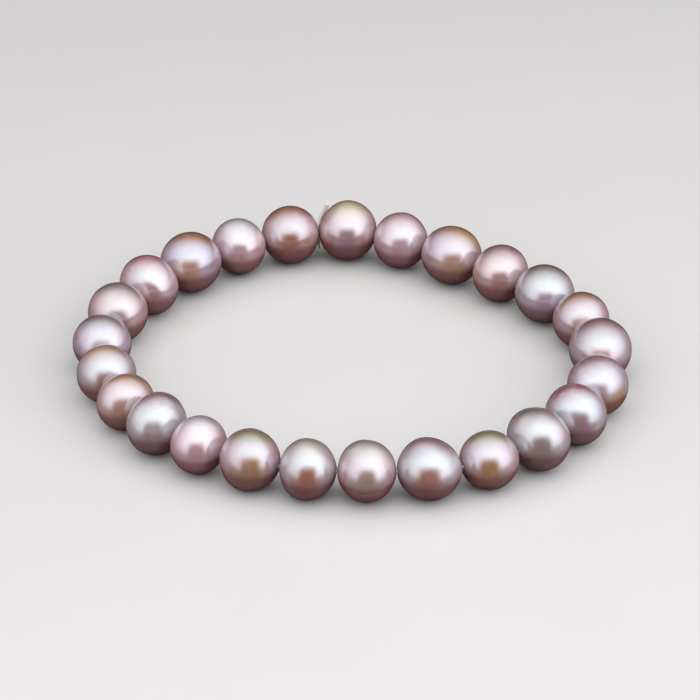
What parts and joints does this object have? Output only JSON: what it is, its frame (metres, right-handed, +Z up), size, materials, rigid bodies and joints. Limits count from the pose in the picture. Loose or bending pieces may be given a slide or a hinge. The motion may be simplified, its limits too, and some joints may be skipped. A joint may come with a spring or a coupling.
{
  "type": "pearl bracelet",
  "caption": "Stretch bracelet of near-round freshwater pearls in mixed natural tones, threaded on one knotted elastic and lying in an oval loop.",
  "frame": {"origin": "middle of the bracelet's bounding box in plan, on the surface that it lies on", "axes": "+Z up, -Y towards the viewer of the picture, +X to that viewer's right"},
  "size_m": [0.0706, 0.0642, 0.0081],
  "materials": {
    "pearl_cream": "pearl nacre, cream",
    "pearl_rose": "pearl nacre, rose",
    "pearl_gold": "pearl nacre, gold",
    "pearl_peach": "pearl nacre, peach",
    "pearl_mauve": "pearl nacre, mauve",
    "pearl_silver": "pearl nacre, silver",
    "pearl_lilac": "pearl nacre, lilac",
    "pearl_copper": "pearl nacre, copper",
    "elastic_thread": "cream elastic, matt"
  },
  "bodies": {
    "root": {"pearl_01": "pearl_cream", "pearl_02": "pearl_rose", "pearl_03": "pearl_gold", "pearl_04": "pearl_peach", "pearl_05": "pearl_silver", "pearl_06": "pearl_peach", "pearl_07": "pearl_mauve", "pearl_08": "pearl_rose", "pearl_09": "pearl_mauve", "pearl_10": "pearl_silver", "pearl_11": "pearl_peach", "pearl_12": "pearl_rose", "pearl_13": "pearl_cream", "pearl_14": "pearl_lilac", "pearl_15": "pearl_gold", "pearl_16": "pearl_lilac", "pearl_17": "pearl_silver", "pearl_18": "pearl_peach", "pearl_19": "pearl_silver", "pearl_20": "pearl_lilac", "pearl_21": "pearl_silver", "pearl_22": "pearl_rose", "pearl_23": "pearl_peach", "pearl_24": "pearl_lilac", "pearl_25": "pearl_copper", "thread": "elastic_thread"}
  },
  "joints": []
}
